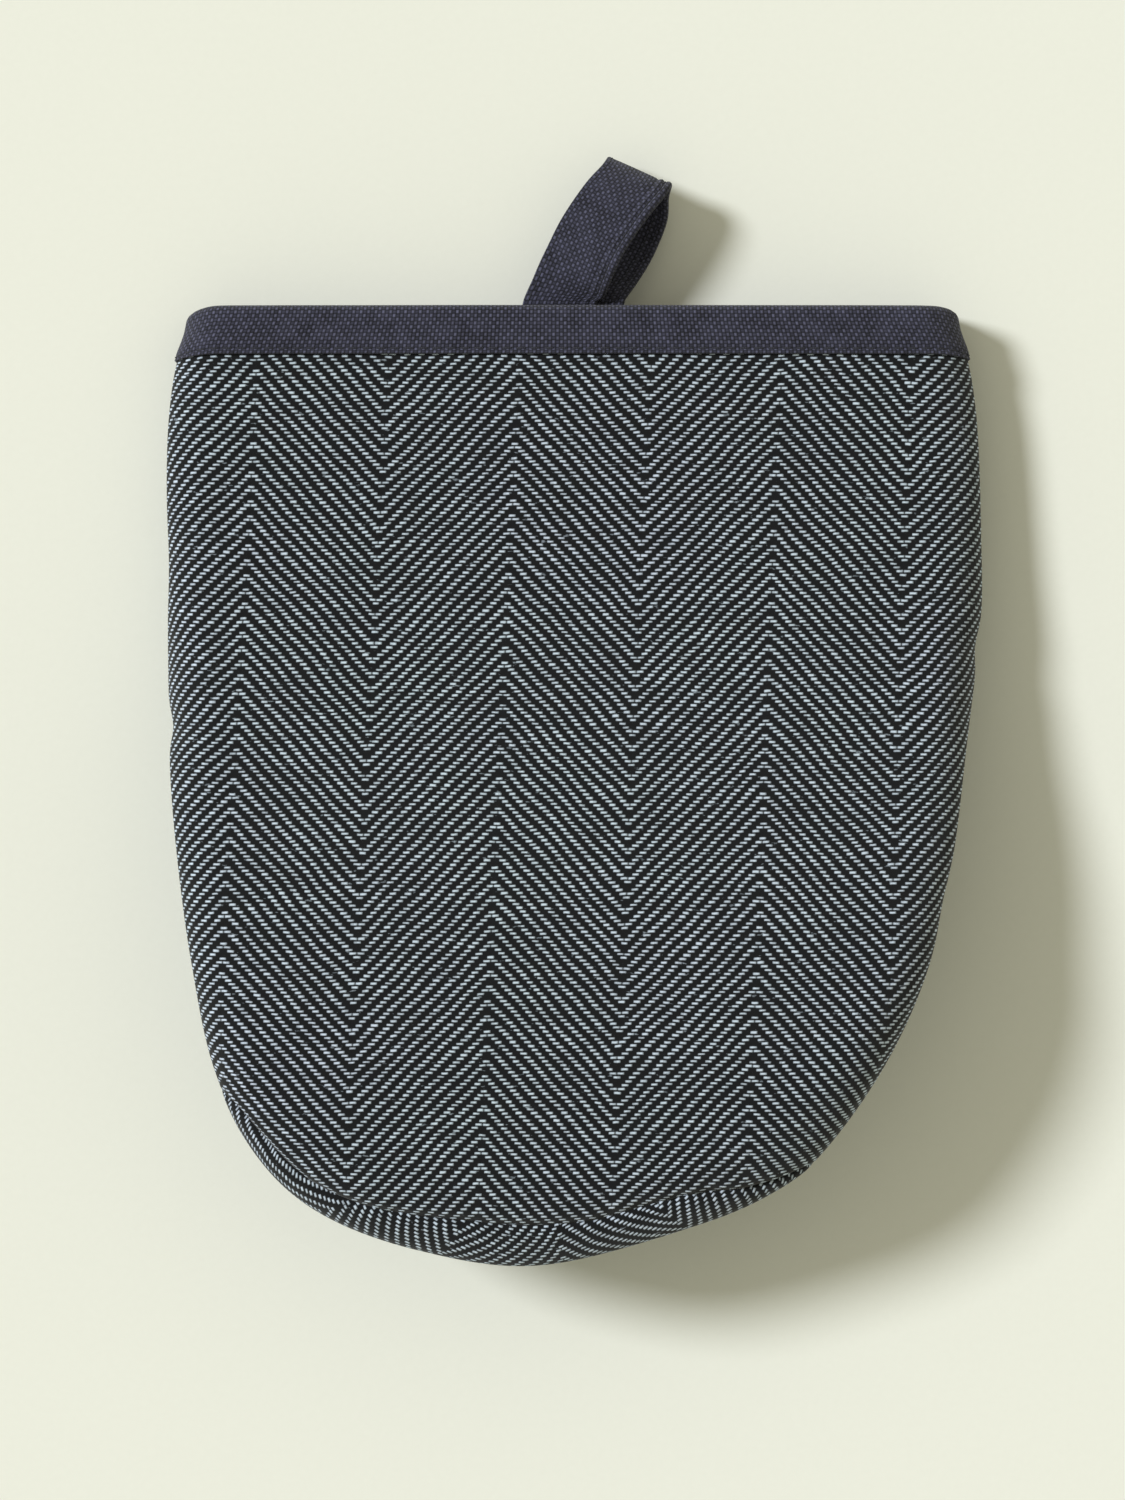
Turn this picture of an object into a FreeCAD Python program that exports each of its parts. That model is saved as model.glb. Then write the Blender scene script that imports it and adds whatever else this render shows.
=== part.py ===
"""Pinch-grip oven mitt: a padded wrist sleeve that forks into a finger jaw and a thumb jaw.

Frame: +Z up, +Y from the finger tip to the hanging loop, +X to the right seen from above.
The mitt lies on z = 0 with its thumb jaw underneath, and the origin is the middle of its
footprint.  All sizes are in millimetres.

Every wall is three layers: an outer cloth, a wadding and a lining.  The layers are the spaces
between nested envelopes, each of which is the mitt's outer shape drawn in by the thickness of
the layers outside it.
"""
import FreeCAD, Part

import math
import os

from FreeCAD import Vector

DIMENSIONS = [
    ("sleeve_length", 78.5, "wrist edge to the fold of the mouth"),
    ("jaw_length", 114.5, "fold of the mouth to the finger tip"),
    ("thumb_length", 103.0, "fold of the mouth to the thumb tip"),
    ("half_width", 82.0, "half of the widest place of the mitt"),
    ("thumb_narrowing", 1.5, "how much the thumb jaw is narrower on each side"),
    ("wrist_height", 17.0, "height of the outer cloth at the wrist"),
    ("thumb_height", 12.4, "height of the thumb jaw"),
    ("finger_height", 19.7, "height of the finger jaw at its thickest"),
    ("mouth_gap", 0.5, "space between the jaws at the fold"),
    ("mouth_angle", 10.0, "slope of the finger jaw's underside, degrees"),
    ("rim_radius", 5.5, "rounding of the finger jaw's and sleeve's edges"),
    ("thumb_radius", 4.5, "rounding of the thumb jaw's edges"),
    ("cloth", 0.8, "outer cloth thickness"),
    ("lining", 0.45, "lining thickness"),
    ("back_wadding", 2.7, "wadding of the back of the hand"),
    ("side_wadding", 2.6, "wadding at the side seams"),
    ("palm_wadding", 2.2, "wadding of the palm and the thumb's underside"),
    ("grip_wadding", 2.2, "wadding of the two gripping faces"),
    ("seam_width", 0.8, "width of a line of seam stitching"),
    ("bend_length", 12.0, "length of the palm wall that bends at the fold"),
    ("bend_gap", 0.3, "space between the bending wall and the thumb jaw"),
    ("binding_width", 10.0, "visible width of the wrist binding"),
    ("binding_cloth", 0.9, "thickness of the folded binding"),
    ("stitch_height", 0.3, "how far a line of stitching stands out"),
    ("stitch_width", 0.7, "width of a line of stitching"),
    ("stitch_inset", 1.4, "line of stitching to the edge of its tape"),
    ("recess_ramp", 13.0, "length over which the palm steps up under the binding"),
    ("tape_width", 15.0, "width of the loop's tape"),
    ("tape_thickness", 1.2, "thickness of the folded tape"),
    ("loop_reach", 30.0, "top of the hanging loop beyond the wrist edge"),
    ("loop_bulge", 5.2, "half of the loop's opening between the two tape legs"),
    ("loop_gap", 0.8, "space between the loop's root and the binding"),
    ("tail_length", 9.0, "length of the loop's tails inside the sleeve"),
    ("tail_setback", 1.0, "end of the tails to the wrist edge, room for the loop to turn"),
    ("tail_gap", 0.2, "space between the tails and the wall that carries them"),
    ("tack_height", 0.5, "thickness of the bar tack on the tails"),
]

# The outline of the mitt seen from above, from the left wrist corner round the finger tip to the
# right wrist corner.  The first number is a share of half_width.  The second is a share of
# sleeve_length above the fold where it is positive, and of jaw_length below it where negative.
OUTLINE = [
    (-0.955, 1.0), (-0.973, 0.88), (-0.995, 0.65), (-0.995, 0.22), (-0.986, -0.08),
    (-0.966, -0.27), (-0.934, -0.463), (-0.880, -0.655), (-0.778, -0.80), (-0.628, -0.904),
    (-0.390, -0.972), (-0.085, -1.0), (0.293, -0.93), (0.494, -0.865), (0.607, -0.795),
    (0.744, -0.655), (0.845, -0.498), (0.909, -0.323), (0.949, -0.114), (0.995, 0.166),
    (0.996, 0.42), (0.983, 0.70), (0.950, 0.89), (0.936, 1.0),
]

# Height of the back above the palm: share of the way from the fold to the wrist, and share of
# the drop from the height at the fold to the height at the wrist.
SLEEVE_BACK = [(1.25, 1.0), (1.0, 1.0), (0.75, 0.93), (0.5, 0.81), (0.24, 0.53), (0.0, 0.0)]

# Height of the finger jaw: share of jaw_length from the fold, share of finger_height.
JAW_BACK = [(0.18, 0.79), (0.36, 0.94), (0.54, 1.0), (0.71, 0.96), (0.86, 0.81), (1.0, 0.6),
            (1.12, 0.42)]
FOLD_SHARE = 0.65

# The seam between the back and the gripping face of the finger jaw: share of jaw_length from
# the fold, share of the jaw's height there.  Near the tip it climbs over the top.
FINGER_SEAM = [(0.0, -0.012), (0.16, 0.42), (0.36, 0.48), (0.54, 0.50), (0.70, 0.55),
               (0.80, 0.72), (0.89, 1.0), (0.95, 1.35), (1.04, 2.1)]

# The same seam of the thumb jaw, which stays on its side all round.
THUMB_SEAM = [(0.0, 1.0), (0.14, 0.6), (0.3, 0.5), (0.7, 0.5), (1.2, 0.5)]

# The loop's tape: share of the way from root to top, height above the tape's middle as a share
# of loop_bulge, sideways place of the tape's middle, the turn of its width in plan and its tilt.
LOOP_PATH = [
    (0.00, 0.12, -3.2, 0.0, 0.0), (0.10, 0.25, -1.6, -14.0, 5.0), (0.26, 0.60, 1.0, -28.0, 11.0),
    (0.50, 0.94, 4.9, -30.0, 15.0), (0.76, 1.00, 9.1, -28.0, 16.0), (0.93, 0.68, 11.7, -25.0, 16.0),
    (1.00, 0.00, 12.8, -24.0, 16.0), (0.93, -0.68, 12.4, -22.0, 16.0),
    (0.76, -1.00, 11.5, -19.0, 15.0), (0.50, -0.94, 10.2, -15.0, 12.0),
    (0.26, -0.60, 9.0, -11.0, 8.0), (0.10, -0.25, 8.1, -5.0, 4.0), (0.00, -0.12, 7.6, 0.0, 0.0),
]
LOOP_DROP = 2.2
TAPE_CLEARANCE = 0.05
TAPE_STEPS = 36

# How far shapes run on past the mitt before they are trimmed, and the half size of the space.
RUN_OUT = 20.0
REACH = 120.0

# An edge belongs to the rim if its middle lies this near the outline and it isn't upright.
RIM_TOLERANCE = 0.02
UPRIGHT = 0.9

# The side seam's last point before the fold: share of the sleeve, share of the fold's level.
SLEEVE_SEAM = (0.25, 0.82)

doc = FreeCAD.newDocument("oven_mitt")
sheet = doc.addObject("Spreadsheet::Sheet", "dims")
for row, (alias, value, meaning) in enumerate(DIMENSIONS, start=1):
    sheet.set(f"A{row}", alias)
    sheet.set(f"B{row}", str(value))
    sheet.set(f"C{row}", meaning)
    sheet.setAlias(f"B{row}", alias)
doc.recompute()


def dim(alias):
    """The value that the sheet holds for a named size."""
    return float(sheet.get(alias))


FOLD_Y = (dim("jaw_length") - dim("sleeve_length") - dim("loop_reach")) / 2
WRIST_Y = FOLD_Y + dim("sleeve_length")
PALM_RECESS = dim("binding_cloth") + dim("stitch_height")
FOLD_LEVEL = dim("thumb_height") + dim("mouth_gap")
BAND_Y = WRIST_Y - dim("binding_width")
SOLE_SLOPE = math.tan(math.radians(dim("mouth_angle")))


def feature(name, shape):
    """A document object that holds a finished shape."""
    part = doc.addObject("Part::Feature", name)
    part.Shape = shape
    part.Placement = FreeCAD.Placement()
    return part


def cut(name, base, tool):
    """One object with another taken out of it."""
    result = doc.addObject("Part::Cut", name)
    result.Base = base
    result.Tool = tool
    return result


def common(name, *shapes):
    """What several objects share."""
    result = doc.addObject("Part::MultiCommon", name)
    result.Shapes = list(shapes)
    return result


def band(name, start, end):
    """Everything between two stations along Y, given as expressions of the sheet."""
    block = doc.addObject("Part::Box", name)
    block.setExpression("Length", f"2 * {REACH} mm")
    block.setExpression("Height", f"2 * {REACH} mm")
    block.setExpression("Width", f"({end} - ({start})) * 1 mm")
    block.setExpression("Placement.Base.x", f"-{REACH} mm")
    block.setExpression("Placement.Base.y", f"({start}) * 1 mm")
    block.setExpression("Placement.Base.z", f"-{REACH} mm")
    return block


def spline(points):
    """A smooth curve through the points."""
    curve = Part.BSplineCurve()
    curve.interpolate(points)
    return curve


def outline(jaw_length, inset):
    """The mitt's outline in plan, drawn in by inset along its own normal."""
    points = []
    for across, along in OUTLINE:
        length = dim("sleeve_length") if along > 0 else jaw_length
        points.append(Vector(across * dim("half_width"), FOLD_Y + along * length, 0))
    points.insert(0, points[0] + Vector(0, RUN_OUT, 0))
    points.append(points[-1] + Vector(0, RUN_OUT, 0))
    curve = spline(points)
    moved = []
    for point in points:
        tangent = curve.tangent(curve.parameter(point))[0]
        moved.append(point + Vector(-tangent.y, tangent.x, 0) * inset)
    return spline(moved)


def upright(curve):
    """The solid that stands on an outline, closed straight across behind the wrist."""
    ends = Part.makeLine(curve.EndPoint, curve.StartPoint)
    face = Part.Face(Part.Wire([curve.toShape(), ends]))
    face.translate(Vector(0, 0, -RUN_OUT))
    return face.extrude(Vector(0, 0, REACH))


def sideways(edges):
    """The solid of a side view's outline, run right across the mitt."""
    face = Part.Face(Part.Wire(edges))
    face.translate(Vector(-REACH, 0, 0))
    return face.extrude(Vector(2 * REACH, 0, 0))


def polyline(points):
    """Straight edges through the points."""
    return [Part.makeLine(start, end) for start, end in zip(points, points[1:])]


def sole_height(y):
    """Height of the finger jaw's underside at station y."""
    return FOLD_LEVEL + (FOLD_Y - y) * SOLE_SLOPE


def back_curve(drop):
    """The back's height along the mitt, lowered by drop, from behind the wrist past the tip."""
    fold_height = FOLD_LEVEL + FOLD_SHARE * dim("finger_height")
    points = []
    for along, share in SLEEVE_BACK:
        height = fold_height + share * (dim("wrist_height") - fold_height)
        points.append(Vector(0, FOLD_Y + along * dim("sleeve_length"), height - drop))
    for along, share in JAW_BACK:
        y = FOLD_Y - along * dim("jaw_length")
        points.append(Vector(0, y, sole_height(y) + share * dim("finger_height") - drop))
    return spline(points)


def palm_edges(rise, start_y, end_y):
    """The sleeve's underside: flat, then a smooth step up under the binding."""
    ramp_start = BAND_Y - dim("recess_ramp") - dim("stitch_inset")
    ramp_end = ramp_start + dim("recess_ramp")
    middle = (ramp_start + ramp_end) / 2
    ramp = Part.BezierCurve()
    ramp.setPoles([
        Vector(0, ramp_start, rise), Vector(0, middle, rise),
        Vector(0, middle, rise + PALM_RECESS), Vector(0, ramp_end, rise + PALM_RECESS),
    ])
    flat = Part.makeLine(Vector(0, start_y, rise), Vector(0, ramp_start, rise))
    under_binding = Part.makeLine(Vector(0, ramp_end, rise + PALM_RECESS),
                                  Vector(0, end_y, rise + PALM_RECESS))
    return [flat, ramp.toShape(), under_binding]


def round_rim(solid, curve, radius):
    """Rounds the edges where the upright wall meets the top and the underside."""
    rim = []
    for edge in solid.Edges:
        middle = (edge.FirstParameter + edge.LastParameter) / 2
        point = edge.valueAt(middle)
        plan_point = Vector(point.x, point.y, 0)
        nearest = curve.value(curve.parameter(plan_point))
        on_outline = nearest.distanceToPoint(plan_point) < RIM_TOLERANCE
        if on_outline and abs(edge.tangentAt(middle).z) < UPRIGHT:
            rim.append(edge)
    return solid.makeFillet(radius, rim)


def hand_envelope(name, side, back, sole, palm):
    """The sleeve and finger jaw in one, drawn in by a different amount on each side."""
    curve = outline(dim("jaw_length"), side)
    top = back_curve(back)
    far_y = top.EndPoint.y
    wrist_end = Vector(0, top.StartPoint.y, palm + PALM_RECESS)
    underside = polyline([
        top.EndPoint, Vector(0, far_y, sole_height(far_y) + sole),
        Vector(0, FOLD_Y, sole_height(FOLD_Y) + sole), Vector(0, FOLD_Y, palm),
    ])
    edges = [top.toShape()] + underside + palm_edges(palm, FOLD_Y, wrist_end.y)
    edges.append(Part.makeLine(wrist_end, top.StartPoint))
    solid = upright(curve).common(sideways(edges))
    return feature(name, round_rim(solid, curve, dim("rim_radius") - side))


def thumb_envelope(name, side, sole, palm):
    """The thumb jaw, drawn in by a different amount on each side."""
    curve = outline(dim("thumb_length"), side + dim("thumb_narrowing"))
    solid = upright(curve)
    height = dim("thumb_height") - sole - palm
    corner = Vector(-REACH, FOLD_Y - 2 * REACH + RUN_OUT, palm)
    slab = Part.makeBox(2 * REACH, 2 * REACH, height, corner)
    return feature(name, round_rim(solid.common(slab), curve, dim("thumb_radius") - side))


def seam_curve(points, jaw_length, base, height):
    """A seam seen from the side, along a jaw whose base and height are functions of y."""
    line = []
    for along, share in points:
        y = FOLD_Y - along * jaw_length
        line.append(Vector(0, y, base(y) + share * height(y)))
    return line


def finger_seam_line():
    """The side seam from behind the wrist to the fold, then round the finger jaw."""
    back = back_curve(0)

    def jaw_height(y):
        upright_line = Part.makeLine(Vector(0, y, -REACH), Vector(0, y, REACH))
        return back.toShape().section(upright_line).Vertexes[0].Z - sole_height(y)

    along, level = SLEEVE_SEAM
    sleeve = [Vector(0, WRIST_Y + RUN_OUT, dim("wrist_height") / 2),
              Vector(0, WRIST_Y, dim("wrist_height") / 2),
              Vector(0, FOLD_Y + along * dim("sleeve_length"), level * FOLD_LEVEL)]
    return sleeve + seam_curve(FINGER_SEAM, dim("jaw_length"), sole_height, jaw_height)


def thumb_seam_line():
    """The side seam of the thumb jaw from the fold round the tip."""
    behind = [Vector(0, FOLD_Y + RUN_OUT, dim("thumb_height"))]
    return behind + seam_curve(THUMB_SEAM, dim("thumb_length"), lambda y: 0.0,
                               lambda y: dim("thumb_height"))


def seam_regions(name, line):
    """Three regions: above a line of stitching, the stitching itself and below it."""
    half = Vector(0, 0, dim("seam_width") / 2)
    over = spline([point + half for point in line])
    under = spline([point - half for point in line])
    near, far = line[0].y, line[-1].y
    ceiling = [Vector(0, far, REACH), Vector(0, near, REACH)]
    floor = [Vector(0, far, -REACH), Vector(0, near, -REACH)]
    above = [over.toShape()] + polyline([over.EndPoint] + ceiling + [over.StartPoint])
    below = [under.toShape()] + polyline([under.EndPoint] + floor + [under.StartPoint])
    between = [over.toShape(), Part.makeLine(over.EndPoint, under.EndPoint), under.toShape(),
               Part.makeLine(under.StartPoint, over.StartPoint)]
    return [feature(f"{name}_{part}", sideways(edges))
            for part, edges in (("above", above), ("seam", between), ("below", below))]


def build_walls():
    """The three layers of every padded wall, and the stitching of the side seams."""
    cloth = dim("cloth")
    lining = dim("lining")
    depths = [
        (0.0, 0.0, 0.0, 0.0),
        (cloth, cloth, cloth, cloth),
        tuple(cloth + dim(f"{part}_wadding") for part in ("side", "back", "grip", "palm")),
        tuple(cloth + lining + dim(f"{part}_wadding") for part in ("side", "back", "grip", "palm")),
    ]
    hand = [hand_envelope(f"hand_{level}", *depth) for level, depth in enumerate(depths)]
    thumb = [thumb_envelope(f"thumb_{level}", side, sole, palm)
             for level, (side, _, sole, palm) in enumerate(depths)]
    above, seam, below = seam_regions("finger", finger_seam_line())
    thumb_above, thumb_seam, thumb_below = seam_regions("thumb", thumb_seam_line())

    fold = str(FOLD_Y)
    edge = f"{WRIST_Y} - dims.binding_cloth"
    sleeve_and_jaw = band("sleeve_and_jaw", -REACH, edge)
    jaw_end = band("jaw_end", -REACH, fold)
    bend_end = band("bend_end", f"{fold} + dims.bend_gap", f"{fold} + dims.bend_length")
    sleeve_end = band("sleeve_end", f"{fold} + dims.bend_length", edge)
    layers = ("panel", "wadding", "lining")
    nodes = []
    for level, layer in enumerate(layers):
        wall = cut(f"hand_{layer}", hand[level], hand[level + 1])
        thumb_wall = cut(f"thumb_shell_{layer}", thumb[level], thumb[level + 1])
        nodes += [
            common(f"back_{layer}", wall, above, sleeve_and_jaw),
            common(f"finger_grip_{layer}", wall, below, jaw_end),
            common(f"palm_{layer}", wall, below, sleeve_end),
            common(f"palm_bend_{layer}", wall, below, bend_end),
            common(f"thumb_{layer}", thumb_wall, thumb_below, jaw_end),
            common(f"thumb_grip_{layer}", thumb_wall, thumb_above, jaw_end),
        ]
        if layer == "panel":
            nodes += [
                common("side_seam_stitching", wall, seam, sleeve_end),
                common("finger_seam_stitching", wall, seam, jaw_end),
                common("thumb_seam_stitching", thumb_wall, thumb_seam, jaw_end),
            ]
    return nodes


def build_binding():
    """The tape folded over the wrist edge, and the line of stitching that holds it."""
    cloth = dim("binding_cloth")
    inner = dim("cloth") + dim("lining")
    walls = [inner + dim(f"{part}_wadding") for part in ("side", "back", "grip", "palm")]
    outside = hand_envelope("binding_outside", *[-cloth] * 4)
    inside = hand_envelope("binding_inside", *[depth + cloth for depth in walls])
    wall_out = doc.getObject("hand_0")
    wall_in = doc.getObject("hand_3")
    wrist = str(WRIST_Y)
    strip = band("binding_strip", f"{wrist} - dims.binding_width", wrist)
    core = band("binding_core", f"{wrist} - 2 * dims.binding_width", f"{wrist} - dims.binding_cloth")
    solid = common("binding_solid", outside, strip)
    ring = cut("binding_ring", solid, inside)
    core_solid = common("wall_end_solid", wall_out, core)
    core_ring = cut("wall_end", core_solid, wall_in)
    binding = cut("wrist_binding", ring, core_ring)

    thread = hand_envelope("stitch_outside", *[-cloth - dim("stitch_height")] * 4)
    line = band("stitch_line", f"{wrist} - dims.binding_width + dims.stitch_inset",
                f"{wrist} - dims.binding_width + dims.stitch_inset + dims.stitch_width")
    thread_solid = common("stitch_solid", thread, line)
    stitching = cut("binding_stitching", thread_solid, outside)
    return [binding, stitching]


def root_height():
    """Height of the middle of the loop's tails, under the back wall's binding."""
    wall = dim("cloth") + dim("back_wadding") + dim("lining") + dim("binding_cloth")
    return dim("wrist_height") - wall - dim("tail_gap") - dim("tape_thickness")


def tape_stations():
    """Evenly spread places along the loop, each with its direction, turn and tilt."""
    root = Vector(0, WRIST_Y + dim("loop_gap"), root_height())
    top_turn = max(-turn for along, _, _, turn, _ in LOOP_PATH if along == 1.0)
    half_tape = dim("tape_width") / 2
    top_overhang = half_tape * math.sin(math.radians(top_turn)) + dim("tape_thickness") / 2
    reach = dim("loop_reach") - dim("loop_gap") - top_overhang
    closest = dim("tape_thickness") / 2 + TAPE_CLEARANCE
    places = []
    for along, rise, x, _, _ in LOOP_PATH:
        height = rise * dim("loop_bulge") if along > 0 else math.copysign(closest, rise)
        places.append(root + Vector(x, along * reach, height - along * LOOP_DROP))
    numbers = [float(number) for number in range(len(places))]
    path = Part.BSplineCurve()
    path.interpolate(Points=places, Parameters=numbers)
    angles = Part.BSplineCurve()
    turns = [Vector(turn, tilt, 0) for *_, turn, tilt in LOOP_PATH]
    angles.interpolate(Points=turns, Parameters=numbers)
    last = numbers[-1]
    stations = []
    for step in range(TAPE_STEPS + 1):
        parameter = last * step / TAPE_STEPS
        angle = angles.value(parameter)
        stations.append((path.value(parameter), path.tangent(parameter)[0], angle.x, angle.y))
    return stations


def tape(name, shift, width, low, high):
    """A strip that follows the loop, shift off its middle, between two heights on its face."""
    sections = []
    for place, tangent, turn, tilt in tape_stations():
        flat = Vector(math.cos(math.radians(turn)), math.sin(math.radians(turn)), 0)
        across = flat * math.cos(math.radians(tilt)) + Vector(0, 0, math.sin(math.radians(tilt)))
        outward = across.cross(tangent).normalize()
        corners = [place + across * (shift + side * width / 2) + outward * height
                   for side, height in ((-1, low), (1, low), (1, high), (-1, high))]
        sections.append(Part.makePolygon(corners + corners[:1]))
    return feature(name, Part.makeLoft(sections, True, True))


def build_loop():
    """The hanging loop, its two lines of edge stitching, its sewn-in tails and their bar tack."""
    half = dim("tape_thickness") / 2
    edge = dim("tape_width") / 2 - dim("stitch_inset")
    loop = tape("hanging_loop", 0, dim("tape_width"), -half, half)
    face = half, half + dim("stitch_height")
    lines = [tape("loop_stitching_left", -edge, dim("stitch_width"), *face),
             tape("loop_stitching_right", edge, dim("stitch_width"), *face)]

    tails = doc.addObject("PartDesign::Body", "loop_tails")
    sketch = tails.newObject("Sketcher::SketchObject", "tails_outline")
    plane = [origin for origin in tails.Origin.OriginFeatures if origin.Role == "XY_Plane"][0]
    sketch.AttachmentSupport = [(plane, "")]
    sketch.MapMode = "FlatFace"
    left = LOOP_PATH[0][2] - dim("tape_width") / 2
    right = LOOP_PATH[-1][2] + dim("tape_width") / 2
    corners = [Vector(left, -dim("tail_length"), 0), Vector(right, -dim("tail_length"), 0),
               Vector(right, -dim("tail_setback"), 0), Vector(left, -dim("tail_setback"), 0)]
    for start, end in zip(corners, corners[1:] + corners[:1]):
        sketch.addGeometry(Part.LineSegment(start, end), False)
    pad = tails.newObject("PartDesign::Pad", "tails_pad")
    pad.Profile = sketch
    pad.Type = 0
    pad.setExpression("Length", "2 * dims.tape_thickness * 1 mm")
    tails.Placement = FreeCAD.Placement(
        Vector(0, WRIST_Y, root_height() - dim("tape_thickness")), FreeCAD.Rotation())

    tack = doc.addObject("Part::Box", "loop_bar_tack")
    tack.setExpression("Length", "dims.tape_width * 1 mm")
    tack.setExpression("Width", "2 * dims.stitch_width * 1 mm")
    tack.setExpression("Height", "dims.tack_height * 1 mm")
    tack.Placement = FreeCAD.Placement(
        Vector((left + right - dim("tape_width")) / 2, WRIST_Y - dim("tail_length") / 2,
               root_height() - dim("tape_thickness") - dim("tack_height")), FreeCAD.Rotation())
    return [loop] + lines + [tails, tack]


def write_parts(nodes):
    """Checks every object of the document, then writes each sub-part to a file of its own."""
    failed = [item.Name for item in doc.Objects if {"Invalid", "Error"} & set(item.State)]
    if failed:
        raise RuntimeError(f"objects that did not compute: {failed}")
    for node in nodes:
        if node.Shape.isNull() or not node.Shape.isValid() or not node.Shape.Solids:
            raise RuntimeError(f"{node.Name} is not a sound solid")
    os.makedirs("parts", exist_ok=True)
    for node in nodes:
        node.Label = node.Name
        node.Shape.exportStep(f"parts/{node.Label}.step")
        print(f"{node.Label}: {len(node.Shape.Solids)} solid, {node.Shape.Volume:.1f} mm3")


NODES = build_walls() + build_binding() + build_loop()
doc.recompute()
write_parts(NODES)
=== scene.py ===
"""Pinch-grip oven mitt: herringbone cloth over wadding, a bound wrist and a hanging loop.

Every padded wall is a closed shell between two skins.  A skin is a set of rays that run from the
mitt's middle line out to its edge, and a column number along each ray: 0 to 1 crosses the upper
face, 1 to 2 goes down the upper half of the rounded edge, 2 to 3 the lower half, and 3 to 4
comes back across the lower face.  Sizes are in millimetres until a mesh is made.
"""

import math

import bmesh
import bpy
import numpy as np
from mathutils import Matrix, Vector


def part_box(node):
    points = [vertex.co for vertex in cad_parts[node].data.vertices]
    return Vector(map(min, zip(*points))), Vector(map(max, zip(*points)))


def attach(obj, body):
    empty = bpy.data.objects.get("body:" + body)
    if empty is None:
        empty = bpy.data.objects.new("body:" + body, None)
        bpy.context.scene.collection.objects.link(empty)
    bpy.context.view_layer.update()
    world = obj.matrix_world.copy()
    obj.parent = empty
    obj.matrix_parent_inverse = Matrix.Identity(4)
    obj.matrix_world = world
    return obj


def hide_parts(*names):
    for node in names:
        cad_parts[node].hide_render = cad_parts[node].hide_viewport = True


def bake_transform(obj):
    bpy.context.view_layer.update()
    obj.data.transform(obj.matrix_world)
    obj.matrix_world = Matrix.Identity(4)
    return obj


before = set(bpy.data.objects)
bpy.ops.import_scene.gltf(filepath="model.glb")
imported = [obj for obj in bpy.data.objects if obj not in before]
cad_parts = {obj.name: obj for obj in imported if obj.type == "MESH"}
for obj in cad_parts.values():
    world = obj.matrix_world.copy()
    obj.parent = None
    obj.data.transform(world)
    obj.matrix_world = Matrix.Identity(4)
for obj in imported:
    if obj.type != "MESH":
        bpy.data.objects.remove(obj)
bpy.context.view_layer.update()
MM = 0.001


def corners(node):
    """Lowest and highest corner of a frame node, in millimetres."""
    low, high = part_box(node)
    return np.array(low) / MM, np.array(high) / MM


# ---------------------------------------------------------------- sizes read from the frame
TIP_TUCK = 2.3
FOLD_Y = corners("thumb_panel")[1][1]
WRIST_Y = corners("wrist_binding")[1][1]
WALL_END_Y = corners("back_panel")[1][1]
HALF_WIDTH = (corners("back_panel")[1][0] - corners("back_panel")[0][0]) / 2 + 0.1
SLEEVE_LENGTH = WRIST_Y - FOLD_Y
JAW_LENGTH = FOLD_Y - corners("finger_grip_panel")[0][1] - TIP_TUCK
THUMB_LENGTH = FOLD_Y - corners("thumb_panel")[0][1]
THUMB_HEIGHT = corners("thumb_grip_panel")[1][2]
BEND_END_Y = corners("palm_bend_panel")[1][1]
WRIST_HEIGHT = 17.0
FINGER_HEIGHT = 19.7
MOUTH_LEVEL = THUMB_HEIGHT + 0.5
SOLE_SLOPE = math.tan(math.radians(10))
FOLD_SHARE = 0.65
THUMB_NARROWING = 1.5
RECESS = 1.2
CLOTH, LINING = 0.8, 0.45
SIDE_WADDING, BACK_WADDING, GRIP_WADDING, PALM_WADDING = 2.6, 2.7, 2.2, 2.2

MIDDLE_X = -4.0
HUB_Y = -45.0
RUN_OUT = 20.0

# The outline seen from above, from the left wrist corner round the finger tip to the right one:
# share of the half width, and share of the sleeve (+) or of the jaw (-) from the fold.
OUTLINE = [
    (-0.955, 1.0), (-0.985, 0.88), (-1.010, 0.65), (-1.008, 0.22), (-0.998, -0.08),
    (-0.974, -0.27), (-0.934, -0.463), (-0.876, -0.655), (-0.778, -0.80), (-0.628, -0.904),
    (-0.390, -0.972), (-0.085, -1.0), (0.293, -0.93), (0.494, -0.865), (0.607, -0.795),
    (0.744, -0.655), (0.845, -0.498), (0.909, -0.323), (0.953, -0.114), (0.998, 0.166),
    (1.001, 0.42), (0.992, 0.70), (0.966, 0.89), (0.938, 1.0),
]
# Small nips in the edge where the side seams fork: side, station along the mitt, depth, length.
NIPS = [(-1, -3.0, 0.9, 3.5), (1, 13.0, 0.8, 4.0), (-1, 30.0, 0.4, 9.0), (1, -38.0, 0.5, 7.0)]

# Height of the back: stations along the mitt and shares, as on the frame.
SLEEVE_BACK = [(1.25, 1.0), (1.0, 1.0), (0.75, 0.93), (0.5, 0.81), (0.24, 0.53), (0.0, 0.0)]
JAW_BACK = [(0.18, 0.79), (0.36, 0.94), (0.54, 1.0), (0.71, 0.96), (0.86, 0.81), (1.0, 0.6),
            (1.12, 0.42)]
# Widest line of the finger jaw, as a share of its height, and of the thumb jaw.
FINGER_WIDEST = [(0.0, -0.012), (0.16, 0.42), (0.36, 0.48), (0.54, 0.50), (1.2, 0.50)]
THUMB_WIDEST = [(0.0, 1.0), (0.14, 0.6), (0.3, 0.5), (1.2, 0.5)]
# The finger-tip seam on the back, in plan: it leaves the edge on the left and meets it again on
# the right, and the gripping cloth wraps over the tip beyond it.
TIP_SEAM = [(-76, -69), (-67, -78.5), (-55, -91), (-45, -96.5), (-35, -99), (-21, -100.5),
            (-10, -101.3), (3, -100.5), (13, -97.8), (24, -95.2), (34, -94.3), (43, -91.5),
            (51, -86.5), (58, -79.5)]

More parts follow.
